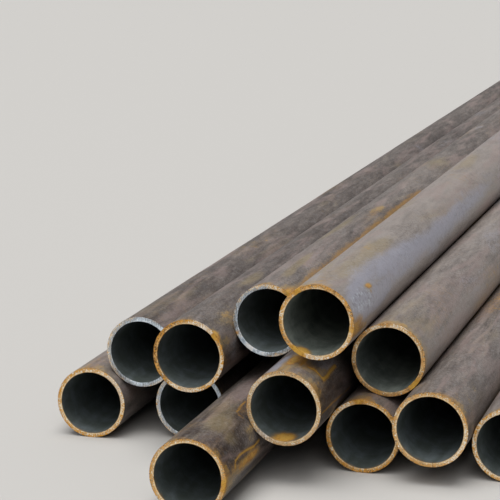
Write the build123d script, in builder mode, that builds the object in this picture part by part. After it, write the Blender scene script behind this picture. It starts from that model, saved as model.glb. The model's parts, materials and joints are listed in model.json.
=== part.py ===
from build123d import *
from math import dist, sqrt
import os

# A loose stack of saw-cut steel pipes on a level floor. Every pipe lies along Y, and the near ends,
# which stand at different depths, face -Y. Left and right are as seen from the near ends.
# All sizes are in millimetres.

# One pipe
outside_diameter = 48.3
wall = 2.9
pipe_length = 3000.0

# The clear distance between two pipes that rest on each other
rest_gap = 0.15

# The clear gaps between neighbours on the floor where they don't touch
gap_under_left_pipe = 17.4
gap_under_low_pipe = 31.9

# How far the wedged pipe is held above the floor by the two pipes that it has pushed apart
wedged_pipe_lift = 12.9

# How far each near end stands back from the foremost one
set_back = {
    "floor_pipe_1": 135.0,
    "floor_pipe_2": 149.0,
    "floor_pipe_3": 0.0,
    "floor_pipe_4": 112.0,
    "floor_pipe_5": 118.0,
    "wedged_pipe": 96.0,
    "second_row_pipe_1": 144.0,
    "second_row_pipe_2": 104.0,
    "second_row_pipe_3": 68.0,
    "second_row_pipe_4": 129.0,
    "third_row_pipe": 136.0,
    "top_pipe": 83.0,
}

outside_radius = outside_diameter / 2
bore_radius = outside_radius - wall
resting_distance = outside_diameter + rest_gap


def beside(pipe, clear_gap):
    """The centre, as x and z, of the next pipe to the right on the floor."""
    x, z = pipe
    return x + outside_diameter + clear_gap, z


def resting_on(left, right):
    """The centre of a pipe that lies in the valley between two others and touches both."""
    across = dist(left, right)
    height = sqrt(resting_distance**2 - (across / 2) ** 2)
    along_x = (right[0] - left[0]) / across
    along_z = (right[1] - left[1]) / across
    middle_x = (left[0] + right[0]) / 2
    middle_z = (left[1] + right[1]) / 2
    return middle_x - height * along_z, middle_z + height * along_x


# The row on the floor, from left to right
floor_1 = (0.0, outside_radius)
floor_2 = beside(floor_1, gap_under_left_pipe)
floor_3 = beside(floor_2, rest_gap)
floor_4 = beside(floor_3, gap_under_low_pipe)

# The wedged pipe touches its two neighbours on the floor, so its height sets the gap between them
half_span = sqrt(resting_distance**2 - wedged_pipe_lift**2)
floor_5 = (floor_4[0] + 2 * half_span, outside_radius)
wedged = resting_on(floor_4, floor_5)

# The pipes above, each in the valley between the two that carry it
second_1 = resting_on(floor_1, floor_2)
second_2 = resting_on(second_1, floor_2)
second_3 = resting_on(floor_3, floor_4)
second_4 = resting_on(floor_4, wedged)
third = resting_on(second_2, second_3)
top = resting_on(third, second_4)

centres = {
    "floor_pipe_1": floor_1,
    "floor_pipe_2": floor_2,
    "floor_pipe_3": floor_3,
    "floor_pipe_4": floor_4,
    "floor_pipe_5": floor_5,
    "wedged_pipe": wedged,
    "second_row_pipe_1": second_1,
    "second_row_pipe_2": second_2,
    "second_row_pipe_3": second_3,
    "second_row_pipe_4": second_4,
    "third_row_pipe": third,
    "top_pipe": top,
}

# The origin is under the middle of the whole stack, on the floor
middle_x = (floor_1[0] + floor_5[0]) / 2
middle_y = (min(set_back.values()) + max(set_back.values()) + pipe_length) / 2

os.makedirs("parts", exist_ok=True)

for name, (x, z) in centres.items():
    near_end = Plane(
        origin=(x - middle_x, set_back[name] - middle_y, z),
        x_dir=(1, 0, 0),
        z_dir=(0, 1, 0),
    )
    with BuildPart() as pipe:
        with BuildSketch(near_end):
            Circle(outside_radius)
            Circle(bore_radius, mode=Mode.SUBTRACT)
        extrude(amount=pipe_length)
    pipe.part.label = name
    export_step(pipe.part, f"parts/{name}.step")
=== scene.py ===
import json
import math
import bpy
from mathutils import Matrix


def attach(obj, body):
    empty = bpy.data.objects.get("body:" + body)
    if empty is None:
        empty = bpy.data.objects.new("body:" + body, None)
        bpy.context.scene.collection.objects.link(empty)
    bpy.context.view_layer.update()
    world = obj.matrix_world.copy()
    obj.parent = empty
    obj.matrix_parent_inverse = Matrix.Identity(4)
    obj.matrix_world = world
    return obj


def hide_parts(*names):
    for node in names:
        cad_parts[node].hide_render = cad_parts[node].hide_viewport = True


bl_info = {
    "name": "Stack of steel pipes",
    "version": (1, 0, 0),
    "blender": (4, 5, 0),
    "location": "3D View > Sidebar > Pipes",
    "description": "Dresses a loose stack of saw-cut steel pipes and sets it on a plain stage",
    "category": "Object",
}

from typing import NamedTuple

import bpy
import numpy as np
from mathutils import Euler, Vector

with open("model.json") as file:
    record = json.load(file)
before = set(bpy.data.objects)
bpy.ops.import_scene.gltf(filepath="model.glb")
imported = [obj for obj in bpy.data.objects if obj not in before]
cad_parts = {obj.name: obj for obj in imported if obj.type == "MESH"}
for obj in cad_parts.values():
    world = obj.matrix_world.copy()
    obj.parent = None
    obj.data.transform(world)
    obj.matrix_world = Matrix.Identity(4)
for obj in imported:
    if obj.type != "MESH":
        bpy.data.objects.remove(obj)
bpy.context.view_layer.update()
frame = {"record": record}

MM = 0.001
BORES = {m["name"].removesuffix("_bore"): m for m in frame["record"]["mounts"] if m["kind"] == "bore"}


# How each pipe looks


class Mark(NamedTuple):
    """A stain on a pipe: its clock hour as seen from the near end, how far back it is, and its reach."""

    clock: float
    back: float
    around: float
    along: float
    strength: float


class Run(NamedTuple):
    """A narrow stain that follows points, each a clock hour and a distance back."""

    points: tuple
    width: float
    strength: float


class Lobe(NamedTuple):
    """A stretch of the sawn face, by clock hour and half its width in hours. A brightened stretch is partly
    bare steel and partly painted highlight.
    """

    clock: float
    hours: float
    strength: float


class PipeLook(NamedTuple):
    """What sets one pipe apart.

    Tone goes from -1, dark scale, to 1, light. Bright goes from 0, a rusted sawn face, to 1, a bare one,
    and tan from 0, a golden film on it, to 1, a tan one. Collar is how much rust creeps from the sawn
    ends over the outside. Lobes brighten or dull stretches of the sawn face, partly as bare steel against
    rust and partly as painted highlight where light glints off the face. Rust and runs stain the outside.
    The bluish marks make its scale bluish, in places paint a highlight, and on the top pipe's right flank
    paint the sky's reflection; warm makes it tan. Dark darkens it, as a vein or a dark line in a stain on
    some pipes and as painted shade on the right flanks of others. Bore_rust stains the bore.
    """

    tone: float
    bright: float
    tan: float = 0.0
    collar: float = 1.0
    lobes: tuple = ()
    rust: tuple = ()
    runs: tuple = ()
    bluish_and_highlight: tuple = ()
    warm: tuple = ()
    dark: tuple = ()
    bore_rust: tuple = ()

    @property
    def gilt(self):
        """How far the bare steel of a sawn face looks tan and cream, the cream being painted glints: 1.3 -
        1.5 bright, from 0 to 1.
        """
        return min(1, max(0, 1.3 - 1.5 * self.bright))


# Backs, reaches and widths are in millimetres
LOOKS = {
    "top_pipe": PipeLook(
        tone=1.0,
        bright=0.12,
        tan=0.15,
        collar=0.9,
        lobes=(Lobe(6.3, 0.7, 0.62), Lobe(4.8, 0.9, 0.25), Lobe(3.3, 0.5, 0.5), Lobe(9.6, 0.5, 0.3)),
        rust=(
            Mark(7.1, 1.5, 5.0, 5.0, 1.3),
            Mark(1.88, 55.0, 1.5, 4.2, 1.15),
            Mark(1.78, 50.0, 0.9, 3.0, 0.45),
            Mark(2.02, 59.0, 1.1, 3.0, 0.40),
            Mark(2.2, 54.0, 1.0, 3.0, 0.40),
            Mark(1.9, 54.0, 5.0, 16.0, 0.15),
            Mark(0.25, 121.0, 3.0, 8.0, 0.3),
            Mark(10.9, 4.0, 3.5, 8.0, 0.55),
            Mark(3.2, 8.0, 6.0, 14.0, 0.6),
            Mark(3.6, 22.0, 3.0, 18.0, 0.35),
        ),
        # Bluish scale near the end; the long bands back along the right flank also paint the sky's bluish
        # reflection
        bluish_and_highlight=(
            Mark(2.2, 26.0, 8.0, 26.0, 1.9),
            Mark(2.75, 66.0, 7.0, 34.0, 0.95),
            Mark(1.2, 90.0, 9.0, 40.0, 0.35),
            Mark(2.0, 160.0, 9.0, 70.0, 0.75),
            Mark(2.2, 330.0, 8.0, 150.0, 0.7),
        ),
        warm=(
            Mark(0.8, 60.0, 6.0, 24.0, 0.55),
            Mark(1.9, 54.0, 4.0, 12.0, 1.2),
            Mark(0.55, 138.0, 7.0, 34.0, 0.8),
            Mark(11.2, 40.0, 6.0, 50.0, 0.4),
        ),
        dark=(Run(((1.46, 28), (1.40, 52), (1.43, 88), (1.95, 100)), 0.8, 0.55),),
        bore_rust=(Mark(6.8, 3.0, 4.0, 7.0, 1.1),),
    ),
    "third_row_pipe": PipeLook(
        tone=-0.15,
        bright=0.85,
        collar=0.5,
        lobes=(Lobe(0.5, 1.2, -0.5), Lobe(7.0, 1.0, 0.75), Lobe(5.8, 0.8, -0.2), Lobe(11.7, 0.5, 0.35)),
        rust=(
            Mark(1.1, 5.0, 4.2, 11.0, 0.50),
            Mark(11.6, 3.0, 6.0, 5.0, 0.45),
            Mark(0.35, 290.0, 4.5, 24.0, 0.5),
        ),
        runs=(Run(((1.35, 12), (1.22, 60), (1.18, 170), (1.16, 420)), 4.2, 0.55),),
        warm=(
            Mark(0.05, 90.0, 5.0, 40.0, 0.8),
            Mark(0.3, 40.0, 5.0, 18.0, 0.6),
            Mark(11.3, 226.0, 6.0, 60.0, 0.6),
        ),
    ),
    "second_row_pipe_1": PipeLook(
        tone=-0.57,
        bright=0.80,
        collar=0.2,
        lobes=(Lobe(9.6, 1.3, -0.06), Lobe(0.1, 0.5, 0.35), Lobe(1.6, 0.6, 0.55), Lobe(6.2, 0.6, 0.3)),
        warm=(Mark(0.4, 100.0, 5.0, 60.0, 0.3),),
    ),
    "second_row_pipe_2": PipeLook(
        tone=-0.5,
        bright=0.12,
        collar=0.9,
        lobes=(Lobe(6.2, 0.8, 0.65), Lobe(0.9, 0.7, 0.85), Lobe(3.9, 1.2, 0.42), Lobe(9.3, 1.4, -0.25)),
        rust=(
            Mark(1.7, 2.0, 3.2, 3.2, 1.2),
            Mark(9.5, 0.0, 13.0, 3.0, 0.45),
            Mark(1.2, 34.0, 4.0, 18.0, 0.26),
            Mark(1.65, 37.0, 4.0, 9.0, 0.24),
            Mark(2.3, 12.0, 4.0, 12.0, 0.26),
        ),
        warm=(Mark(0.0, 60.0, 5.0, 30.0, 0.5), Mark(0.3, 130.0, 5.0, 30.0, 0.4)),
        # Painted shade down the right flank, where the next pipe shades it
        dark=(Run(((2.8, 4), (2.8, 120)), 9.0, 0.75),),
    ),
    "second_row_pipe_3": PipeLook(
        tone=-0.38,
        bright=0.30,
        tan=0.8,
        collar=1.2,
        lobes=(Lobe(7.2, 0.5, 0.7), Lobe(0.0, 1.2, -0.15), Lobe(10.2, 0.8, 0.35), Lobe(1.6, 0.4, 0.35)),
        rust=(
            Mark(11.85, 31.0, 3.6, 12.0, 1.0),
            Mark(11.95, 16.0, 4.0, 12.0, 0.40),
            Mark(0.35, 31.0, 3.6, 12.0, 0.55),
            Mark(0.8, 24.0, 4.5, 8.0, 0.45),
            Mark(1.2, 24.0, 4.0, 7.0, 0.45),
            Mark(1.7, 34.0, 3.5, 12.0, 0.20),
            Mark(0.2, 70.0, 4.0, 30.0, 0.35),
        ),
        runs=(
            Run(
                ((0.86, 22), (1.14, 24), (1.49, 23), (1.77, 23), (1.80, 31), (1.74, 43), (1.72, 56)),
                1.5,
                1.0,
            ),
            Run(((0.45, 20), (0.42, 36), (0.30, 52)), 1.2, 0.7),
            Run(((3.15, 4), (3.18, 28), (3.26, 49), (3.35, 75)), 1.0, 0.7),
        ),
        # Painted highlight: a pale grey-lavender patch on the crown near the end
        bluish_and_highlight=(Mark(11.2, 22.0, 5.0, 26.0, 1.0),),
        warm=(Mark(0.0, 20.0, 4.0, 16.0, 1.0),),
        # Painted shade down the right flank, under the top pipe
        dark=(Run(((2.7, 4), (2.7, 45), (2.5, 90)), 9.0, 0.95),),
        bore_rust=(Mark(6.1, 9.0, 7.0, 10.0, 1.25),),
    ),
    "second_row_pipe_4": PipeLook(
        tone=0.4,
        bright=0.15,
        tan=0.35,
        collar=1.15,
        lobes=(Lobe(0.6, 0.5, 0.55), Lobe(11.2, 0.4, 0.4), Lobe(9.4, 0.6, 0.2)),
        rust=(Mark(0.3, 4.0, 9.0, 6.0, 0.30),),
        warm=(Mark(0.1, 60.0, 12.0, 90.0, 0.45),),
    ),
    "floor_pipe_1": PipeLook(tone=-0.1, bright=0.3, lobes=(Lobe(2.0, 1.5, 0.4),)),
    "floor_pipe_2": PipeLook(tone=-0.3, bright=0.8, lobes=(Lobe(1.8, 0.8, 0.5),)),
    "floor_pipe_3": PipeLook(
        tone=-0.76,
        bright=0.2,
        tan=0.3,
        collar=1.2,
        lobes=(Lobe(7.0, 0.8, 0.4),),
        rust=(
            Mark(3.0, 40.0, 3.2, 17.0, 0.75),
            Mark(3.05, 60.0, 3.4, 13.0, 0.70),
            Mark(0.95, 77.0, 3.0, 7.0, 0.24),
            Mark(1.9, 62.0, 3.4, 9.0, 0.32),
            Mark(2.3, 58.0, 2.8, 8.0, 0.28),
        ),
        runs=(
            Run(((2.9, 19), (2.52, 22), (2.46, 32), (2.54, 46), (2.69, 60), (2.63, 72)), 1.2, 0.9),
            Run(((0.66, 92), (0.74, 71), (0.93, 68), (1.25, 67)), 0.9, 0.66),
        ),
        warm=(
            Mark(0.6, 40.0, 7.0, 14.0, 0.6),
            Mark(1.6, 30.0, 5.0, 12.0, 0.5),
            Mark(0.0, 70.0, 8.0, 30.0, 0.4),
        ),
        # The first run darkens the scale at 1 to 2 o'clock near the end; the second and the last are
        # painted shade on the right flank and underside; the third is a dark line in the rust stripe
        dark=(
            Run(((1.3, 60), (1.5, 38), (1.9, 26)), 5.0, 0.35),
            Run(((2.2, 2), (2.3, 40)), 8.0, 0.6),
            Run(((2.7, 26), (2.85, 64)), 2.4, 0.8),
            Run(((4.0, 2), (4.0, 150), (3.8, 260)), 10.0, 1.0),
        ),
    ),
    "floor_pipe_4": PipeLook(tone=-0.3, bright=0.15, lobes=(Lobe(11.0, 1.0, 0.4),)),
    "floor_pipe_5": PipeLook(tone=0.1, bright=0.5, lobes=(Lobe(5.0, 1.5, -0.3),)),
    "wedged_pipe": PipeLook(tone=-0.1, bright=0.2, tan=0.4, lobes=(Lobe(4.0, 1.0, 0.4),)),
}


# Settings


def length_setting(name, description, default):
    """A length that a user can change."""
    return bpy.props.FloatProperty(
        name=name, description=description, default=default, unit="LENGTH", precision=5
    )


def angle_setting(name, description, degrees):
    """An angle that a user can change."""
    return bpy.props.FloatProperty(
        name=name, description=description, default=math.radians(degrees), unit="ROTATION"
    )


def strength_setting(name, description, default):
    """A light's strength that a user can change."""
    return bpy.props.FloatProperty(name=name, description=description, default=default, min=0.0)


def colour_setting(name, description, default):
    """A colour that a user can change."""
    return bpy.props.FloatVectorProperty(
        name=name, description=description, default=default, subtype="COLOR", size=3, min=0.0, max=1.0
    )


class PipeSizes(bpy.types.PropertyGroup):
    """The sizes of a pipe's fine shape."""

    wall: length_setting("Wall", "Thickness of the wall", 2.9 * MM)
    edge: length_setting("Edge", "Radius of the sawn edges", 0.25 * MM)
    burr: length_setting("Burr", "Height of the ragged burr", 0.25 * MM)
    out_of_square: length_setting("Out of square", "How far a sawn face leans across the pipe", 0.5 * MM)
    unevenness: length_setting("Unevenness", "Depth of the slow waves in the wall", 0.10 * MM)
    crust: length_setting("Crust", "Height of the thickest rust", 0.35 * MM)
    steps_around: bpy.props.IntProperty(
        name="Steps around", description="Faces round the pipe", default=144, min=24
    )


class SteelColours(bpy.types.PropertyGroup):
    """The colours of the steel, in linear light."""

    # The dark scale is also the colour of the painted shade that the dark runs put on some right flanks
    scale_dark: colour_setting("Dark scale", "Mill scale that is brown and thick", (0.045, 0.031, 0.026))
    scale_light: colour_setting("Light scale", "Mill scale that is worn and grey", (0.37, 0.325, 0.30))
    # Bluish scale, which also paints a highlight on one pipe's crown and the sky's reflection on another's
    # flank
    bluish_scale_and_highlight: colour_setting("Cool scale", "Mill scale that is bluish", (0.375, 0.375, 0.450))
    scale_frost: colour_setting("Frosted scale", "The palest flecks of bluish scale", (0.56, 0.60, 0.66))
    scale_tan: colour_setting("Tan film", "Thin rust over the scale", (0.34, 0.262, 0.130))
    scale_pink: colour_setting("Pinkish scale", "Mill scale that is reddish", (0.38, 0.285, 0.265))
    rust_deep: colour_setting("Deep rust", "Rust where it is old", (0.085, 0.034, 0.010))
    rust_mid: colour_setting("Rust", "Rust as most of it is", (0.45, 0.19, 0.016))
    rust_fresh: colour_setting("Fresh rust", "Rust where it is new and powdery", (0.60, 0.340, 0.050))
    rust_film: colour_setting("Rust film", "Rust where it only stains", (0.38, 0.19, 0.020))
    cut_metal: colour_setting("Cut metal", "Bare steel on a sawn face", (0.70, 0.84, 0.98))
    # Painted highlight: the white of bare steel where light catches it
    cut_white: colour_setting("White metal", "Bare steel where the light catches it", (1.0, 1.0, 0.99))
    cut_dull: colour_setting("Dull metal", "Bare steel between the saw's strokes", (0.27, 0.305, 0.345))
    cut_gold: colour_setting("Golden film", "Thin rust on a sawn face", (0.68, 0.30, 0.020))
    cut_tan: colour_setting("Tan cut", "Dull thin rust on a sawn face", (0.66, 0.43, 0.22))
    # The glint and the spark colours paint glints on the sawn faces
    cut_glint: colour_setting("Glint", "Grains that shine on a sawn face", (1.0, 0.78, 0.44))
    cut_spark: colour_setting("Spark", "The brightest grains on a sawn face", (1.0, 0.94, 0.84))
    bore_dark: colour_setting("Dark bore", "The wall inside, where it is blackest", (0.072, 0.088, 0.080))
    bore_light: colour_setting("Light bore", "The wall inside, where it is dusty", (0.225, 0.250, 0.222))
    bore_cool: colour_setting("Cool bore", "The wall inside the darker pipes", (0.155, 0.184, 0.204))


class StageSettings(bpy.types.PropertyGroup):
    """The floor, the light and the camera, which is placed from the top pipe's near end."""

    floor: colour_setting("Floor", "The plain floor", (0.52, 0.51, 0.495))
    floor_size: length_setting("Floor size", "Side of the floor", 400.0)
    sky: strength_setting("Sky", "Strength of the soft light all round", 0.25)
    sky_tint: colour_setting("Sky tint", "Colour of the soft light all round", (0.93, 0.96, 1.0))
    overhead: strength_setting("Overhead", "Strength of the soft light from above", 2.4)
    front: strength_setting("Front", "Strength of the soft light from the front", 1.15)
    light_tint: colour_setting("Light tint", "Colour of the overhead and front light", (1.0, 0.985, 0.96))
    light_spread: angle_setting("Light spread", "Width of the sky that each light comes from", 50)
    lens: bpy.props.FloatProperty(
        name="Lens", description="Focal length for a sensor 36 mm wide", default=140.4, unit="CAMERA"
    )
    camera_right: length_setting("Right", "How far to the right the camera stands", 0.300)
    camera_front: length_setting("In front", "How far in front the camera stands", 1.1357)
    camera_up: length_setting("Up", "How far up the camera stands", 0.2826)
    camera_turn: angle_setting("Turn", "How far the camera turns to the left of the pipes", 16.79)
    camera_dip: angle_setting("Dip", "How far the camera dips below level", 11.40)


# Shapes


WAVES = 28

# Each drift of a pipe has a seed of its own, to which the pipe's number is added
SLOW, QUICK, RAGGED, VALLEY, COOL, STROKE, TONE, CLOUDS, WARM = range(0, 900, 100)


def drift(points, size, seed):
    """A smooth random value for each point, mostly within -1 to 1.

    It is the sum of plane waves, sin(2 pi (direction . point) / wavelength + phase), over 1.6 times the
    square root of half their number. The directions and phases are random, and the wavelengths are
    random within 0.6 to 1.7 times size.
    """
    random = np.random.default_rng(seed)
    directions = random.normal(size=(WAVES, 3))
    directions /= np.linalg.norm(directions, axis=1)[:, None]
    wavelengths = size * random.uniform(0.6, 1.7, WAVES)
    phases = random.uniform(0, 2 * np.pi, WAVES)
    turns = points @ (2 * np.pi * directions / wavelengths[:, None]).T + phases
    return np.sin(turns).sum(axis=-1) / math.sqrt(WAVES / 2) / 1.6


def fading(distance, reach):
    """1 at the start, and exp(-distance / reach) further on."""
    return np.exp(-distance / reach)


def hours_apart(a, b):
    """The shorter way round a clock face from b to a, in hours."""
    return (a - b + 6) % 12 - 6


class Steps(NamedTuple):
    """How the rings along a wall are spaced: the first step at each end, how it grows, and the longest."""

    near: float
    near_growth: float
    far: float
    far_growth: float
    longest: float = 60 * MM


OUTSIDE_STEPS = Steps(near=0.45 * MM, near_growth=1.11, far=1.2 * MM, far_growth=1.35)
INSIDE_STEPS = Steps(near=0.60 * MM, near_growth=1.17, far=1.5 * MM, far_growth=1.45)

# More rings where the photograph shows the outside closest
CLOSE_RINGS = np.arange(18 * MM, 100 * MM, 1.9 * MM)


def spaced(length, first, growth, longest):
    """Distances from 0 to length whose steps start at first, grow by a factor and stop growing at longest.

    After k steps the distance is first (growth^k - 1) / (growth - 1), until the step reaches longest.
    """
    count = math.ceil(math.log(longest / first) / math.log(growth))
    grown = first * (growth ** np.arange(count + 1) - 1) / (growth - 1)
    grown = grown[grown < length]
    rest = np.linspace(grown[-1], length, max(2, round((length - grown[-1]) / longest) + 1))
    return np.concatenate([grown, rest[1:]])


def both_ways(length, steps):
    """Distances from 0 to length, close together at both ends."""
    near = spaced(length / 2, steps.near, steps.near_growth, steps.longest)
    far = length - spaced(length / 2, steps.far, steps.far_growth, steps.longest)[::-1]
    return np.concatenate([near, far[1:]])


OUTSIDE, SAWN, INSIDE = 0, 1, 2
FACE_RINGS = 8
CORNER_RINGS = 2


def pipe_profile(length, outer, inner, edge):
    """The closed outline of the wall cut along the pipe, as distances back, radii and zones.

    It runs back along the outside, over the far face, forward through the bore and over the near face.
    The four corners are quarter circles of radius edge, whose ends belong to the walls and faces.
    """
    outside = edge + both_ways(length - 2 * edge, OUTSIDE_STEPS)
    outside = np.unique(np.concatenate([outside, CLOSE_RINGS]))
    inside = edge + both_ways(length - 2 * edge, INSIDE_STEPS)[::-1]
    across = np.linspace(outer - edge, inner + edge, FACE_RINGS)
    corner = np.linspace(0, np.pi / 2, CORNER_RINGS + 2)[1:-1]
    cosine, sine = np.cos(corner), np.sin(corner)
    stretches = [
        (outside, np.full_like(outside, outer), OUTSIDE),
        (length - edge + edge * sine, outer - edge + edge * cosine, SAWN),
        (np.full_like(across, length), across, SAWN),
        (length - edge + edge * cosine, inner + edge - edge * sine, SAWN),
        (inside, np.full_like(inside, inner), INSIDE),
        (edge - edge * sine, inner + edge - edge * cosine, SAWN),
        (np.zeros_like(across), across[::-1], SAWN),
        (edge - edge * cosine, outer - edge + edge * sine, SAWN),
    ]
    back = np.concatenate([backs for backs, radii, zone in stretches])
    radius = np.concatenate([radii for backs, radii, zone in stretches])
    zone = np.concatenate([np.full(len(backs), zone) for backs, radii, zone in stretches])
    return back, radius, zone


class PlainPipe:
    """A plain pipe as arrays, with a row for each place on the wall's outline and a column for each angle.

    A point at clock angle a and radius r is at x = r sin a, z = r cos a from the pipe's axis, so 12
    o'clock is the top and 3 o'clock the right as seen from the near end.
    """

    def __init__(self, node, sizes, number):
        bore = BORES[node]
        self.number = number
        self.centre = np.array(bore["pos_m"])
        self.inner = bore["dims"]["r_mm"] * MM
        self.outer = self.inner + sizes.wall
        self.length = bore["dims"]["length_mm"] * MM
        back, radius, self.zone = pipe_profile(self.length, self.outer, self.inner, sizes.edge)
        self.back = back[:, None]
        self.radius = radius[:, None]
        self.from_end = np.minimum(self.back, self.length - self.back)
        self.outside = (self.zone == OUTSIDE)[:, None]
        self.sawn = (self.zone == SAWN)[:, None]
        self.inside = (self.zone == INSIDE)[:, None]

        # The first angle, where the map's seam is, points down
        self.angle = np.linspace(np.pi, 3 * np.pi, sizes.steps_around, endpoint=False)[None, :]
        self.clock = self.angle * 6 / np.pi
        self.points = self.placed(self.back, self.radius)
        self.shape = self.points.shape[:2]

    def placed(self, back, radius):
        """The points at these distances back and radii."""
        x = self.centre[0] + radius * np.sin(self.angle)
        z = self.centre[2] + radius * np.cos(self.angle)
        return np.stack([x, np.broadcast_to(self.centre[1] + back, x.shape), z], axis=-1)

    def drift(self, seed, size, scale=(1, 1, 1)):
        """A drifting value, whose blotches are longer along an axis that is scaled down."""
        return drift(self.points * scale, size, self.number + seed)

    def arc(self, clock, radius):
        """How far round each point is from a clock hour, on a circle of this radius."""
        return hours_apart(self.clock, clock) * radius * math.pi / 6

    def marked(self, marks, radius):
        """The sum of the marks: each is strength times exp(-(arc / around)^2 - (distance / along)^2)."""
        total = np.zeros(self.shape)
        for mark in marks:
            around = self.arc(mark.clock, radius) / (mark.around * MM)
            along = (self.back - mark.back * MM) / (mark.along * MM)
            total += mark.strength * np.exp(-(around**2) - along**2)
        return total

    def along_runs(self, runs):
        """The largest of the runs: each is strength times exp(-(distance to its line / width)^2).

        The distance is measured on the unrolled outside, to the nearest point of each straight stretch.
        """
        total = np.zeros(self.shape)
        for run in runs:
            for (clock_1, back_1), (clock_2, back_2) in zip(run.points, run.points[1:]):
                arc = self.arc(clock_1, self.outer)
                past = self.back - back_1 * MM
                step_arc = hours_apart(clock_2, clock_1) * self.outer * math.pi / 6
                step_past = (back_2 - back_1) * MM
                share = (arc * step_arc + past * step_past) / (step_arc**2 + step_past**2)
                share = np.clip(share, 0, 1)
                away = np.hypot(arc - share * step_arc, past - share * step_past)
                total = np.maximum(total, run.strength * np.exp(-((away / (run.width * MM)) ** 2)))
        return total * self.outside

    def lobed(self, lobes):
        """The sum of the lobes: each is strength times exp(-(hours from its middle / half its width)^2)."""
        total = np.zeros_like(self.clock)
        for lobe in lobes:
            total += lobe.strength * np.exp(-((hours_apart(self.clock, lobe.clock) / lobe.hours) ** 2))
        return total


def neighbours(node, reach):
    """The clock hours at which other pipes touch this one, and how far back each starts.

    An hour is 30 degrees round from the top, and a pipe touches if its axis is within reach.
    """
    here = Vector(BORES[node]["pos_m"])
    found = []
    for name, other in BORES.items():
        gap = Vector(other["pos_m"]) - here
        if name != node and math.hypot(gap.x, gap.z) < reach:
            found.append((math.degrees(math.atan2(gap.x, gap.z)) / 30 % 12, gap.y))
    return found


# How near the axes of two touching pipes are, as a multiple of their radius, with a little to spare
TOUCHING = 2.1


def rust_on(pipe, look, slow, line, touching):
    """How thick the rust is, from 0 for none to 1 for a full crust.

    It is the marks, a quarter of the runs' line, the valleys where pipes touch, a collar round each sawn
    end and faint clouds away from the ends, added up. In the bore it is the bore's own marks and a
    collar inside its mouth. A valley is 0.40 exp(-(arc / spread)^2), where the other pipe covers it.
    """
    valley = np.zeros(pipe.shape)
    spread = (3.0 + 1.8 * pipe.drift(VALLEY, 70 * MM, (0.2, 1, 0.2))) * MM
    for hour, start in touching:
        covered = 1 / (1 + np.exp(-(pipe.back - start - 2 * MM) / (3 * MM)))
        valley += 0.40 * covered * np.exp(-((pipe.arc(hour, pipe.outer) / spread) ** 2))
    collar = 0.27 * fading(pipe.from_end, 3.4 * look.collar * MM) + 0.16 * fading(pipe.from_end, 24 * MM)
    collar = collar * (0.4 + 0.6 * look.collar)
    clouds = np.clip(pipe.drift(CLOUDS, 60 * MM, (1, 0.2, 1)) - 0.45, 0, 1)
    clouds = clouds * np.clip(pipe.from_end / (250 * MM), 0, 1)
    spots = pipe.marked(look.rust, pipe.outer) + 0.25 * line
    rust = spots + valley + collar * (1 + 0.6 * slow) + 0.26 * clouds
    mouth = (0.50 - 0.35 * look.bright) * fading(pipe.from_end, 3.5 * MM)
    bore_rust = pipe.marked(look.bore_rust, pipe.inner) + mouth
    return np.where(pipe.inside, bore_rust, rust) + 0.05 * slow


# How far from an end the burr, the crust and the sawn face's lean reach
BURR_REACH = 0.45 * MM
CRUST_REACH = 100 * MM
LEAN_REACH = 8 * MM

# The angle in radians from the way one pipe's ends lean to the next pipe's
LEAN_TURN = 2.4

# How far inside the solid the outside stays, and how deep the saw's strokes go
CLEARANCE = 0.07 * MM
STROKES = 0.10 * MM


def relief(pipe, sizes, slow, rust):
    """Distances back and radii with the burr, the crust, the waves and the saw's lean added.

    The burr is its height times (0.55 + 0.45 ragged), fading from the end, and leans out over the
    outside and a little in over the bore. The crust is its height times the rust above 0.35. The waves
    go inwards. A sawn face lies behind its foremost point by out_of_square times (1 + lean) / 2, where
    the lean goes from -1 to 1 across the pipe, and by the depth of the saw's strokes.
    """
    quick = pipe.drift(QUICK, 3.0 * MM)
    ragged = pipe.drift(RAGGED, 2.2 * MM, (1, 0, 1))
    lip = sizes.burr * (0.55 + 0.45 * ragged) * fading(pipe.from_end, BURR_REACH)
    crust = sizes.crust * np.clip(rust - 0.35, 0, 1) * (0.7 + 0.5 * quick)
    waves = sizes.unevenness * (slow + 0.25 * quick - 1.6)
    outward = np.where(pipe.radius > (pipe.outer + pipe.inner) / 2, 1.0, -1.0)
    lip_reach = np.where(outward > 0, 0.6, 0.25)
    near_ends = pipe.from_end < CRUST_REACH
    radius = pipe.radius + outward * (lip * lip_reach + crust * near_ends) + pipe.outside * waves
    radius = np.minimum(radius, pipe.outer - CLEARANCE)

    turn = LEAN_TURN * pipe.number
    lean = (pipe.points[..., 0] - pipe.centre[0]) * math.cos(turn)
    lean = lean + (pipe.points[..., 2] - pipe.centre[2]) * math.sin(turn)
    lean = sizes.out_of_square * (1 + lean / pipe.outer) / 2
    strokes = STROKES * (1 + pipe.drift(STROKE, 1.3 * MM, (1, 0, 0.12)))
    inset = lean + pipe.sawn * (strokes + 2 * STROKES - 0.5 * lip)
    from_near = inset * fading(pipe.back, LEAN_REACH)
    from_far = inset * fading(pipe.length - pipe.back, LEAN_REACH)
    back = np.clip(pipe.back + from_near - from_far, 0, pipe.length)
    return back, radius


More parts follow.
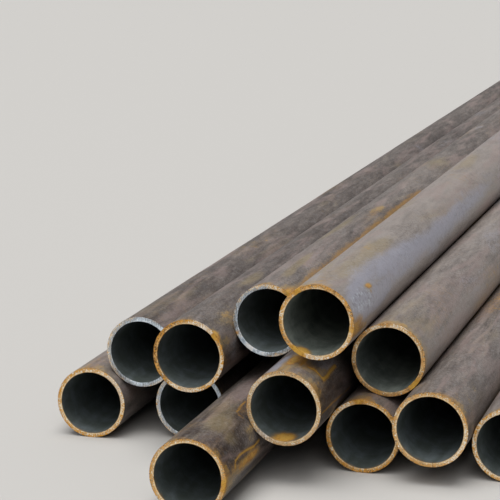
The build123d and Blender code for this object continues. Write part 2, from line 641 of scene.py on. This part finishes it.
def finish_fields(pipe, look, rust, line):
    """The values that the finishes read at each point, by name."""
    # The bluish marks: bluish scale, and in places painted highlight and painted sky reflection
    bluish_and_highlight = pipe.marked(look.bluish_and_highlight, pipe.outer) * pipe.outside
    warm = pipe.marked(look.warm, pipe.outer) * pipe.outside
    # The dark runs lower the tone: a vein and a dark line in a rust stripe, and painted shade on some right
    # flanks
    dark = pipe.along_runs(look.dark)
    return {
        "rust": rust,
        "bluish_and_highlight": bluish_and_highlight + 0.25 * pipe.drift(COOL, 60 * MM, (1, 0.4, 1)) + 0.3 * min(look.tone, 0),
        "warm": warm + 0.25 * pipe.drift(WARM, 50 * MM, (1, 0.4, 1)),
        # The lobes brighten the sawn face: partly bare steel, partly painted highlight
        "bright": look.bright + pipe.lobed(look.lobes) - 0.5 * pipe.marked(look.rust, pipe.outer),
        "tone": look.tone + 0.2 * pipe.drift(TONE, 34 * MM, (1, 0.1, 1)) - 1.2 * dark,
        "tan": look.tan,
        "gilt": look.gilt,
        "across": (pipe.outer - pipe.radius) / (pipe.outer - pipe.inner),
        "line": line,
    }


def make_pipe(node, sizes, number):
    """One pipe as a surface of two parameters, the place on the wall's outline and the angle round.

    The fine shape is added to the plain pipe's radius and distance back. The mesh carries a map for the
    export and the values that the finishes read.
    """
    pipe = PlainPipe(node, sizes, number)
    look = LOOKS[node]
    slow = pipe.drift(SLOW, 26 * MM, (1, 0.25, 1))
    line = pipe.along_runs(look.runs)
    rust = rust_on(pipe, look, slow, line, neighbours(node, TOUCHING * pipe.outer))
    points = pipe.placed(*relief(pipe, sizes, slow, rust))

    # A face between a wall and a sawn end belongs to the end
    ahead = np.roll(pipe.zone, -1)
    zone = np.where((pipe.zone == SAWN) | (ahead == SAWN), SAWN, pipe.zone)
    chart = strip_chart(zone, pipe.back[:, 0], pipe.radius[:, 0], pipe.length, sizes.steps_around)
    mesh = ring_mesh(node + "_steel", points, zone, chart)
    for name, value in finish_fields(pipe, look, rust, line).items():
        values = np.broadcast_to(value, pipe.shape).astype(np.float32).ravel()
        mesh.attributes.new(name, "FLOAT", "POINT").data.foreach_set("value", values)
    return mesh


def ring_mesh(name, points, zone, chart):
    """A mesh of rings that closes both ways: each four neighbouring points make one face."""
    rings, around, _ = points.shape
    index = np.arange(rings * around).reshape(rings, around)
    ahead = np.roll(index, -1, axis=0)
    faces = np.stack([index, np.roll(index, -1, axis=1), np.roll(ahead, -1, axis=1), ahead], axis=-1)
    mesh = bpy.data.meshes.new(name)
    mesh.from_pydata(points.reshape(-1, 3), [], faces.reshape(-1, 4))
    mesh.polygons.foreach_set("material_index", np.repeat(zone, around).astype(np.int32))
    mesh.polygons.foreach_set("use_smooth", np.ones(rings * around, bool))
    layer = mesh.uv_layers.new(name="OFBake")
    layer.uv.foreach_set("vector", chart.astype(np.float32).ravel())
    mesh.update()
    return mesh


# The map is worked out in pixels, and the rows fill its height: 5 of the walls and 2 of the sawn faces
MAP_SIDE = 1024
MAP_GAP = 5
MAP_WIDEST = MAP_SIDE - 2 * MAP_GAP
WALL_ROWS = 5
WALL_HEIGHT = 188
FACE_HEIGHT = 22
FACE_PIXELS_PER_MM = 5.5


def strip_chart(zone, back, radius, length, around):
    """A flat map of the pipe for the export, as the four corners of each face.

    The walls are cut lengthwise into strips that lie one above the other. A millimetre of wall at
    distance d from the nearer end is 1.12 + 1.1 exp(-d / 90 mm) pixels long on the outside and
    0.10 + 1.4 exp(-d / 60 mm) in the bore, or less where that wouldn't fit. The sawn faces are two long
    thin strips at the top, drawn larger.
    """
    ahead_back, ahead_radius = np.roll(back, -1), np.roll(radius, -1)
    middle = (back + ahead_back) / 2
    from_end = np.minimum(middle, length - middle) / MM
    outside = 1.12 + 1.1 * np.exp(-from_end / 90)
    inside = 0.10 + 1.4 * np.exp(-from_end / 60)
    density = np.where(zone == OUTSIDE, outside, inside)
    step = np.hypot(ahead_back - back, ahead_radius - radius) / MM
    walls = np.where(zone == SAWN, 0, step * density)

    # No ring is split between two rows, so the walls leave 1.5% of the rows free
    walls = walls * min(1.0, 0.985 * WALL_ROWS * MAP_WIDEST / walls.sum())
    low_u, high_u, low_v = np.zeros(len(zone)), np.zeros(len(zone)), np.zeros(len(zone))
    row, place = 0, 0.0
    for ring, wide in enumerate(walls):
        if place + wide > MAP_WIDEST:
            row, place = row + 1, 0.0
        low_u[ring] = MAP_GAP + place
        high_u[ring] = MAP_GAP + place + wide
        low_v[ring] = MAP_GAP + row * (WALL_HEIGHT + MAP_GAP)
        place += wide

    share = np.arange(around)[None, :] / around
    ahead = share + 1 / around
    round_pipe = np.stack([share, ahead, ahead, share], axis=-1)
    u = np.stack([low_u, low_u, high_u, high_u], axis=-1)[:, None, :] + 0 * round_pipe
    v = low_v[:, None, None] + WALL_HEIGHT * round_pipe

    # A sawn face runs along its row, and its rings are stacked across the row
    near = middle < length / 2
    faces_start = MAP_GAP + WALL_ROWS * (WALL_HEIGHT + MAP_GAP)
    for end, row in ((near, 0), (~near, 1)):
        sawn = (zone == SAWN) & end
        total = np.cumsum(np.where(sawn, step, 0) * FACE_PIXELS_PER_MM)
        high = (faces_start + row * (FACE_HEIGHT + MAP_GAP) + total)[:, None]
        low = high - (step * FACE_PIXELS_PER_MM)[:, None]
        sides = np.stack([low, low, high, high], axis=-1) + 0 * round_pipe
        along = MAP_GAP + MAP_WIDEST * round_pipe + 0 * sides
        u = np.where(sawn[:, None, None], along, u)
        v = np.where(sawn[:, None, None], sides, v)
    return np.stack([u, v], axis=-1) / MAP_SIDE


# Finishes


class Socket:
    """An output of a node, on which arithmetic adds the nodes that work it out."""

    def __init__(self, finish, socket):
        self.finish = finish
        self.socket = socket

    def maths(self, operation, *values):
        """A Math node on these values or sockets."""
        return self.finish.node("ShaderNodeMath", {"operation": operation}, dict(enumerate(values)))

    def __add__(self, other):
        return self.maths("ADD", self, other)

    def __sub__(self, other):
        return self.maths("SUBTRACT", self, other)

    def __rsub__(self, other):
        return self.maths("SUBTRACT", other, self)

    def __mul__(self, other):
        return self.maths("MULTIPLY", self, other)

    def __abs__(self):
        return self.maths("ABSOLUTE", self)

    __radd__ = __add__
    __rmul__ = __mul__


class Finish:
    """A material under construction."""

    def __init__(self, name):
        self.material = bpy.data.materials.new(name)
        self.material.use_nodes = True
        self.tree = self.material.node_tree
        self.tree.nodes.clear()

    def node(self, kind, settings, inputs, output=0):
        """A node with its settings, then the values or links of its sockets. Gives one of its outputs."""
        made = self.tree.nodes.new(kind)
        for key, value in settings.items():
            setattr(made, key, value)
        for key, value in inputs.items():
            if isinstance(value, Socket):
                self.tree.links.new(value.socket, made.inputs[key])
            else:
                made.inputs[key].default_value = value
        return Socket(self, made.outputs[output])

    def place(self):
        """The point's place, as Object coordinates."""
        return self.node("ShaderNodeTexCoord", {}, {}, "Object")

    def field(self, name):
        """A value that the mesh carries."""
        return self.node("ShaderNodeAttribute", {"attribute_name": name}, {}, "Fac")

    def scaled(self, vector, by):
        """A place with each axis scaled, so that a pattern is longer along an axis that is scaled down."""
        return self.node("ShaderNodeVectorMath", {"operation": "MULTIPLY"}, {0: vector, 1: by})

    def grain(self, vector, size, detail, roughness=0.55, distortion=0.0):
        """Noise from 0 to 1 whose blotches are about size across, in metres."""
        inputs = {
            "Vector": vector,
            "Scale": 0.5 / size,
            "Detail": detail,
            "Roughness": roughness,
            "Distortion": distortion,
        }
        return self.node("ShaderNodeTexNoise", {}, inputs, "Fac")

    def step(self, value, low, high):
        """0 below low and 1 above high, smooth between."""
        inputs = {"Value": value, "From Min": low, "From Max": high}
        return self.node("ShaderNodeMapRange", {"interpolation_type": "SMOOTHSTEP"}, inputs)

    def mix(self, factor, first, second):
        """A colour between two. The node's factor is socket 0, and its colours are 6, 7 and output 2."""
        first, second = (c if isinstance(c, Socket) else (*c, 1.0) for c in (first, second))
        return self.node("ShaderNodeMix", {"data_type": "RGBA"}, {0: factor, 6: first, 7: second}, 2)

    def bump(self, height, distance, strength):
        """The surface's direction where it stands up by height times distance."""
        inputs = {"Height": height, "Distance": distance, "Strength": strength}
        return self.node("ShaderNodeBump", {}, inputs)

    def surface(self, **sockets):
        """The finished material. Names are the shader's own, with underscores for spaces."""
        inputs = {key.replace("_", " "): value for key, value in sockets.items()}
        shader = self.node("ShaderNodeBsdfPrincipled", {}, inputs)
        output = self.tree.nodes.new("ShaderNodeOutputMaterial")
        self.tree.links.new(shader.socket, output.inputs["Surface"])
        return self.material


def rust_colour(f, place, colours):
    """Rust from deep brown to ochre, in streaky blotches with powdery grains, fresher where it is thick."""
    blotches = f.grain(f.scaled(place, (1.0, 0.4, 1.0)), 1.8 * MM, 6.0, 0.72)
    grains = f.grain(place, 0.4 * MM, 3.0, 0.7)
    shade = f.step(blotches + 0.7 * grains + 0.25 * f.field("rust"), 0.74, 1.22)
    first = f.mix(f.step(shade, 0.0, 0.5), colours.rust_deep, colours.rust_mid)
    both = f.mix(f.step(shade, 0.5, 1.0), first, colours.rust_fresh)
    pits = f.step(f.grain(place, 0.6 * MM, 4.0, 0.65), 0.55, 0.66)
    return f.mix(0.45 * pits, both, colours.rust_deep)


def mill_scale(colours):
    """The outside: worn brown-grey scale with pinkish, tan and bluish patches, and rust over it.

    The bluish scale is crackled and has pale flecks where it is strongest; in places the bluish colour is
    a painted highlight, and in others the sky's painted reflection. Where dark runs lower the tone the
    scale is darker, which on some right flanks is painted shade. Fine veins, scratches along the pipe and
    rings round it lie over the scale, and the rust comes as film, freckles, tide lines, ochre crust and
    drawn runs.
    """
    f = Finish("mill_scale")
    place = f.place()
    lengthwise = f.scaled(place, (1.0, 0.13, 1.0))
    mottle = f.grain(f.scaled(place, (1.0, 0.24, 1.0)), 5.5 * MM, 9.0, 0.66, 0.5)
    streaks = f.grain(lengthwise, 1.6 * MM, 6.0, 0.6)
    powder = f.grain(place, 0.55 * MM, 3.0, 0.7)
    clouds = f.grain(lengthwise, 9 * MM, 4.0, 0.5, 0.5)
    rust = f.field("rust")

    # From dark to worn scale, with pinkish, tan and bluish patches. Through the tone, the dark runs paint
    # shade on some right flanks, and some bluish patches are painted highlight
    worn = 0.50 + 0.34 * f.field("tone") + 0.56 * (mottle - 0.5) + 0.8 * (streaks - 0.5)
    worn = worn + 1.2 * (powder - 0.5)
    scale = f.mix(f.step(worn, -0.10, 1.10), colours.scale_dark, colours.scale_light)
    pink = f.step(f.grain(lengthwise, 6 * MM, 5.0, 0.6, 0.6), 0.46, 0.66)
    scale = f.mix(0.46 * pink, scale, colours.scale_pink)
    warm = f.step(f.field("warm") + 1.3 * (clouds - 0.5) + 0.5 * (streaks - 0.5), 0.12, 0.62)
    scale = f.mix(0.45 * warm, scale, colours.scale_tan)
    # Bluish patches: bluish scale, and in places painted highlight and painted sky reflection
    bluish_and_highlight = f.step(f.field("bluish_and_highlight") + 1.0 * (mottle - 0.5) + 0.8 * (powder - 0.5), 0.12, 0.62)
    scale = f.mix(0.80 * bluish_and_highlight, scale, colours.bluish_scale_and_highlight)

    # Dark crackle and pale flecks, strongest on frosted bluish scale
    frosted = f.step(f.field("bluish_and_highlight") + 0.5 * (mottle - 0.5), 0.80, 1.30)
    crackle = f.step(f.grain(place, 1.3 * MM, 4.0, 0.6, 1.0), 0.50, 0.62)
    scale = f.mix(0.36 * crackle * (0.20 + 0.25 * bluish_and_highlight + 0.60 * frosted), scale, colours.scale_dark)
    flecks = f.step(f.grain(place, 1.5 * MM, 4.0, 0.65, 0.6), 0.50, 0.64)
    scale = f.mix(flecks * (0.08 + 0.62 * frosted), scale, colours.scale_frost)

    # Fine dark veins follow the level lines of a noise
    level = f.grain(f.scaled(place, (1.0, 0.5, 1.0)), 9 * MM, 5.0, 0.55, 0.8)
    vein = (1 - f.step(abs(level - 0.5), 0.002, 0.012)) * f.step(clouds, 0.48, 0.60)
    scale = f.mix(0.26 * vein, scale, colours.scale_dark)

    # Scratches run along the pipe, and light and dark rings go round it
    hairs = f.grain(f.scaled(place, (1.0, 0.02, 1.0)), 0.35 * MM, 3.0)
    scale = f.mix(0.22 * f.step(hairs, 0.66, 0.74), scale, colours.scale_light)
    rings = f.grain(f.scaled(place, (0.07, 1.0, 0.07)), 0.45 * MM, 3.0, 0.6, 0.5)
    ringed = f.step(clouds, 0.46, 0.58)
    scale = f.mix(0.30 * f.step(rings, 0.60, 0.70) * ringed, scale, colours.scale_light)
    scale = f.mix(0.30 * f.step(0.5 - rings, 0.08, 0.18) * ringed, scale, colours.scale_dark)

    # Rust: a film, freckles in clusters, tide lines and a crust
    cluster = f.step(f.grain(lengthwise, 7 * MM, 4.0, 0.6) + 0.5 * rust, 0.55, 0.85)
    freckle = f.step(f.grain(place, 0.8 * MM, 2.0), 0.64, 0.72) * cluster
    rusty = rust_colour(f, place, colours)
    ragged = rust + 0.85 * (f.grain(place, 3.2 * MM, 7.0, 0.72, 0.8) - 0.5) + 0.5 * (powder - 0.5)
    stain = f.step(ragged, 0.04, 0.50)
    crust = f.step(ragged, 0.34, 0.80)
    tide = f.step(ragged, 0.22, 0.32) - f.step(ragged, 0.33, 0.46)
    film = f.mix(f.step(clouds, 0.40, 0.60), colours.scale_tan, colours.rust_film)
    skin = f.mix(0.60 * stain, scale, film)
    skin = f.mix(0.60 * freckle, skin, rusty)
    skin = f.mix(0.38 * tide * f.step(streaks, 0.40, 0.60), skin, colours.rust_fresh)
    skin = f.mix(0.80 * crust, skin, rusty)

    # The drawn runs, with ragged edges and an ochre middle
    drawn = f.field("line")
    run = f.step(drawn + 1.1 * (streaks - 0.5) + 1.1 * (powder - 0.5), 0.22, 0.70)
    ochre = f.mix(f.step(drawn, 0.55, 0.80), colours.rust_film, colours.rust_fresh)
    skin = f.mix((0.45 + 0.4 * drawn) * run, skin, ochre)
    height = 0.7 * mottle + 0.4 * powder - 0.3 * vein + 1.2 * crust * powder
    return f.surface(
        Base_Color=skin,
        Metallic=0.30 * (1 - crust),
        Roughness=0.48 + 0.25 * (streaks - 0.5) + 0.25 * (mottle - 0.5) + 0.30 * crust + 0.08 * stain,
        Normal=f.bump(height, 0.30 * MM, 0.7),
    )


def sawn_face(colours):
    """The cut ends: bare bright steel in places, and elsewhere a thin golden or tan film of rust.

    The saw's fine strokes run up the face. The film has old, dark and shining grains, brown edges and a
    shining line near the bore; the shining grains and line are painted glints. The steel is dull between
    the strokes and white in patches, or tan and cream on a face that is mostly rusted; the white and
    cream patches, set by the bright lobes, are partly bare steel and partly painted highlight.
    """
    f = Finish("sawn_face")
    place = f.place()
    strokes = f.grain(f.scaled(place, (1.0, 1.0, 0.12)), 0.22 * MM, 4.0, 0.7)
    grains = f.grain(place, 0.34 * MM, 3.0, 0.65)
    patches = f.grain(place, 2.2 * MM, 5.0, 0.65)
    tan = f.field("tan")
    across = f.field("across")
    edges = f.step(abs(across - 0.48) + 0.12 * (grains - 0.5), 0.34, 0.50)
    bright = f.field("bright") + 0.35 * (across - 0.5)

    # The film of rust
    film = f.mix(tan, colours.cut_gold, colours.cut_tan)
    near_bore = f.step(across + 0.6 * (patches - 0.5), 0.35, 0.80)
    film = f.mix((0.20 + 0.5 * tan) * near_bore, film, colours.cut_tan)
    old = f.step(patches + 0.8 * (grains - 0.5), 0.46, 0.80)
    film = f.mix(0.55 * old, film, colours.rust_mid)
    film = f.mix(0.45 * f.step(strokes, 0.44, 0.60), film, colours.cut_glint)
    dark = 0.6 * f.grain(place, 0.55 * MM, 2.0, 0.6) + 0.5 * strokes + 0.06 * edges
    film = f.mix(0.92 * f.step(dark, 0.53, 0.62), film, colours.rust_deep)
    # Painted glints: pale and sparking grains, denser where the face is bright
    speck = 0.7 * f.grain(place, 0.55 * MM, 5.0, 0.6) + 0.3 * strokes
    speck = speck + 0.3 * (patches - 0.5) + 0.28 * bright
    shiny = f.step(speck, 0.56, 0.66)
    film = f.mix(0.72 * shiny, film, colours.cut_glint)
    film = f.mix(0.85 * f.step(speck, 0.60, 0.70), film, colours.cut_spark)
    brown = tuple(0.6 * deep + 0.4 * mid for deep, mid in zip(colours.rust_deep, colours.rust_mid))
    film = f.mix(0.72 * edges, film, brown)
    # A painted glint along the burr near the bore
    inner_line = f.step(across, 0.70, 0.78) * (1 - f.step(across, 0.88, 0.95))
    film = f.mix(0.70 * inner_line * f.step(patches + 0.2 * bright, 0.46, 0.58), film, colours.cut_glint)

    # The bare steel, pale where it shines: partly polish, partly painted highlight
    bare = f.step(bright + 0.7 * (patches - 0.5) + 1.0 * (grains - 0.5), 0.50, 0.92)
    shine = bright + 0.6 * (patches - 0.5) + 1.6 * (strokes - 0.5) + 0.8 * (grains - 0.5)
    # Dull to pale steel: partly polish between the strokes, partly painted highlight; the white patches are
    # painted highlight
    polish_and_sheen = f.step(shine, 0.68, 1.32)
    metal = f.mix(polish_and_sheen, colours.cut_dull, colours.cut_metal)
    caught = f.grain(place, 1.6 * MM, 3.0, 0.6)
    metal = f.mix(f.step(shine + 3.0 * (caught - 0.5), 1.10, 1.90), metal, colours.cut_white)
    metal = f.mix(0.5 * f.step(0.5 - caught, 0.04, 0.14), metal, colours.cut_dull)
    metal = f.mix(f.field("gilt"), metal, f.mix(polish_and_sheen, colours.cut_tan, colours.cut_spark))

    rust = f.step(f.field("rust") + 0.7 * (patches - 0.5), 0.70, 1.00)
    skin = f.mix(bare, film, metal)
    skin = f.mix(rust, skin, rust_colour(f, place, colours))
    return f.surface(
        Base_Color=skin,
        Metallic=(0.40 + bare * (0.4 - 0.6 * polish_and_sheen) + 0.3 * shiny * (1 - bare)) * (1 - rust),
        Roughness=0.48 - 0.16 * bare - 0.16 * shiny + 0.25 * rust + 0.3 * (strokes - 0.5),
        Normal=f.bump(1.4 * strokes + grains, 0.12 * MM, 0.9),
    )


def bore_wall(colours):
    """The inside: blue-black scale with dusty clouds and long streaks, and rust near the mouth."""
    f = Finish("bore_wall")
    place = f.place()
    streaks = f.grain(f.scaled(place, (1.0, 0.10, 1.0)), 2.4 * MM, 6.0, 0.6)
    clouds = f.grain(place, 6 * MM, 7.0, 0.62, 0.5)
    powder = f.grain(place, 0.7 * MM, 4.0, 0.7)
    tone = f.field("tone")
    dusty = f.step(0.6 * clouds + 0.4 * streaks + 0.2 * (powder - 0.5) + 0.05 * tone, 0.34, 0.74)
    dust = f.mix(f.step(tone, -0.2, 0.8), colours.bore_cool, colours.bore_light)
    skin = f.mix(dusty, colours.bore_dark, dust)
    ragged = f.field("rust") + 0.8 * (f.grain(place, 3.5 * MM, 7.0, 0.70) - 0.5)
    stain = f.step(ragged, 0.15, 0.60)
    crust = f.step(ragged, 0.42, 0.80)
    skin = f.mix(0.45 * stain, skin, colours.rust_film)
    rusty = f.mix(0.40, rust_colour(f, place, colours), colours.rust_fresh)
    skin = f.mix(0.85 * crust, skin, rusty)
    return f.surface(
        Base_Color=skin,
        Roughness=0.60 + 0.15 * (streaks - 0.5) + 0.3 * crust,
        Normal=f.bump(clouds + 0.4 * streaks + 0.3 * powder + crust, 0.25 * MM, 0.5),
    )


def floor_paint(tint):
    """A plain matt floor."""
    f = Finish("plain_floor")
    return f.surface(Base_Color=(*tint, 1.0), Roughness=0.9)


# Operators


class PIPES_OT_make_pipes(bpy.types.Operator):
    """Makes every pipe of the stack, with its sawn ends, burrs, scale and rust"""

    bl_idname = "pipes.make_pipes"
    bl_label = "Make the pipes"

    def execute(self, context):
        sizes = context.scene.pipe_sizes
        colours = context.scene.steel_colours
        # In the order of the zones: outside, sawn, inside
        finishes = [mill_scale(colours), sawn_face(colours), bore_wall(colours)]
        for number, node in enumerate(sorted(BORES)):
            mesh = make_pipe(node, sizes, number)
            for material in finishes:
                mesh.materials.append(material)
            pipe = bpy.data.objects.new(node + "_steel", mesh)
            context.scene.collection.objects.link(pipe)
            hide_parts(node)
            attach(pipe, "root")
        return {"FINISHED"}


class PIPES_OT_make_stage(bpy.types.Operator):
    """Makes the plain floor, the soft light and the camera"""

    bl_idname = "pipes.make_stage"
    bl_label = "Make the stage"

    def execute(self, context):
        stage = context.scene.pipe_stage
        self.make_floor(context, stage)
        self.make_sky(context, stage)
        self.make_light(context, stage, "overhead_light", (-0.05, -0.10, 1.0), stage.overhead)
        self.make_light(context, stage, "front_light", (0.05, -1.0, 1.0), stage.front)
        self.make_camera(context, stage)
        return {"FINISHED"}

    def make_floor(self, context, stage):
        """A plain square with its middle under the pipes."""
        half = stage.floor_size / 2
        mesh = bpy.data.meshes.new("floor")
        corners = [(-half, -half, 0), (half, -half, 0), (half, half, 0), (-half, half, 0)]
        mesh.from_pydata(corners, [], [(0, 1, 2, 3)])
        mesh.materials.append(floor_paint(stage.floor))
        floor = bpy.data.objects.new("floor", mesh)
        context.scene.collection.objects.link(floor)

    def make_sky(self, context, stage):
        """The soft light all round."""
        world = bpy.data.worlds.new("soft_light")
        world.use_nodes = True
        background = world.node_tree.nodes["Background"]
        background.inputs["Color"].default_value = (*stage.sky_tint, 1.0)
        background.inputs["Strength"].default_value = stage.sky
        context.scene.world = world
        context.scene.view_settings.view_transform = "Standard"

    def make_light(self, context, stage, name, source, strength):
        """An even light from a wide part of the sky, which source points at."""
        lamp = bpy.data.lights.new(name, "SUN")
        lamp.angle = stage.light_spread
        lamp.energy = strength
        lamp.color = stage.light_tint
        light = bpy.data.objects.new(name, lamp)
        light.rotation_euler = Vector(source).to_track_quat("Z", "Y").to_euler()
        context.scene.collection.objects.link(light)

    def make_camera(self, context, stage):
        """The camera, which looks along the pipes, turned to the left and dipped."""
        camera = bpy.data.cameras.new("photo_view")
        camera.lens = stage.lens
        camera.sensor_width = 36.0
        camera.clip_start = 0.05
        camera.clip_end = 1000.0
        near_end = Vector(BORES["top_pipe"]["pos_m"])
        view = bpy.data.objects.new("photo_view", camera)
        view.location = near_end + Vector((stage.camera_right, -stage.camera_front, stage.camera_up))
        view.rotation_euler = Euler((math.pi / 2 - stage.camera_dip, 0.0, stage.camera_turn))
        context.scene.collection.objects.link(view)
        context.scene.camera = view


class PIPES_PT_panel(bpy.types.Panel):
    """The stack's settings and steps"""

    bl_label = "Stack of pipes"
    bl_idname = "PIPES_PT_panel"
    bl_space_type = "VIEW_3D"
    bl_region_type = "UI"
    bl_category = "Pipes"

    def draw(self, context):
        for operator in (PIPES_OT_make_pipes, PIPES_OT_make_stage):
            self.layout.operator(operator.bl_idname)
        for name, group in GROUPS.items():
            for setting in group.__annotations__:
                self.layout.prop(getattr(context.scene, name), setting)


GROUPS = {"pipe_sizes": PipeSizes, "steel_colours": SteelColours, "pipe_stage": StageSettings}
CLASSES = (*GROUPS.values(), PIPES_OT_make_pipes, PIPES_OT_make_stage, PIPES_PT_panel)


def register():
    for cls in CLASSES:
        bpy.utils.register_class(cls)
    for name, group in GROUPS.items():
        setattr(bpy.types.Scene, name, bpy.props.PointerProperty(type=group))


def unregister():
    for name in GROUPS:
        delattr(bpy.types.Scene, name)
    for cls in reversed(CLASSES):
        bpy.utils.unregister_class(cls)


def main():
    register()
    bpy.ops.pipes.make_pipes()
    bpy.ops.pipes.make_stage()


if __name__ == "__main__":
    main()
